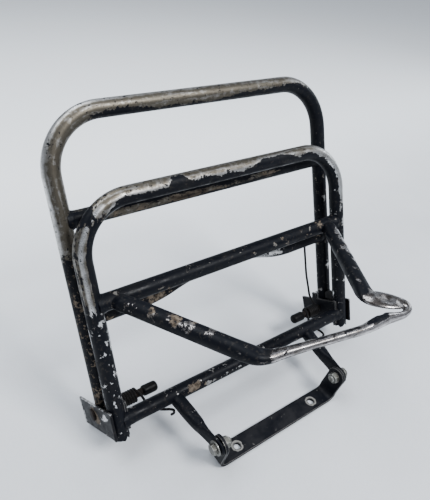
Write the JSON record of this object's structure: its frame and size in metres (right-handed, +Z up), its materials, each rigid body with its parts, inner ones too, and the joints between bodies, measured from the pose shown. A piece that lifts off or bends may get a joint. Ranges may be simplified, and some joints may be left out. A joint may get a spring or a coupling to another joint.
{
  "type": "folding luggage rack",
  "caption": "Tubular steel folding luggage rack: a fixed hoop with a forward loop, a taller sprung hoop that folds back, and two arms pivoting on a drilled base strip.",
  "frame": {"origin": "middle of the line between the two mounting holes, on the underside of the base strip", "axes": "+X to the right across the rack, +Y to the back, the way the tall hoop folds, +Z up; the front loop reaches towards -Y"},
  "size_m": [0.4182, 0.2889, 0.3775],
  "materials": {
    "chipped_black_paint": "old satin blue-black paint, chipped along the outer faces to bright and greyed plating",
    "black_paint": "old satin blue-black paint with small chips on the edges",
    "worn_chrome": "dulled, scratched plating with patches of black paint left on it",
    "bracket_steel": "rubbed grey-black plate steel, bright on its edges and brown round the pin",
    "pin_steel": "dull brown steel",
    "fastener_zinc": "dirty worn zinc",
    "black_cap": "smooth black, slightly scuffed",
    "black_rubber": "dull, perished at the edges",
    "spring_steel": "black wire, rubbed grey on the outer side of the turns"
  },
  "bodies": {
    "mount": {"mount_strip": "black_paint", "left_mount_bolt": "fastener_zinc", "right_mount_bolt": "fastener_zinc", "left_bolt_washer": "fastener_zinc", "right_bolt_washer": "fastener_zinc", "left_mount_nut": "fastener_zinc", "right_mount_nut": "fastener_zinc"},
    "frame": {"fixed_hoop": "chipped_black_paint", "lower_cross_tube": "chipped_black_paint", "mid_crossbar": "chipped_black_paint", "front_loop": "worn_chrome", "left_arm": "black_paint", "right_arm": "black_paint", "left_outer_plate": "bracket_steel", "right_outer_plate": "bracket_steel", "left_inner_plate": "black_paint", "right_inner_plate": "black_paint", "left_hinge_pin": "pin_steel", "right_hinge_pin": "pin_steel", "left_pin_cap": "black_cap", "right_pin_cap": "black_cap", "left_rest_pad": "black_rubber", "right_rest_pad": "black_rubber", "left_torsion_spring": "spring_steel", "right_torsion_spring": "spring_steel"},
    "folding": {"folding_hoop": "chipped_black_paint", "upper_crossbar": "chipped_black_paint", "rear_crossbar": "chipped_black_paint"}
  },
  "joints": [
    {"name": "frame_tilt", "type": "hinge", "parent": "mount", "child": "frame", "pos_m": [0, -0.0065, 0.043], "axis": [1, 0, 0], "range_deg": [-25, 25]},
    {"name": "rack_fold", "type": "hinge", "parent": "frame", "child": "folding", "pos_m": [0, 0.1078, 0.0421], "axis": [-1, 0, 0], "range_deg": [0, 90], "stiffness_Nm_per_rad": 1.6, "springref_deg": -51.57, "deforming": ["left_torsion_spring", "right_torsion_spring"]}
  ]
}
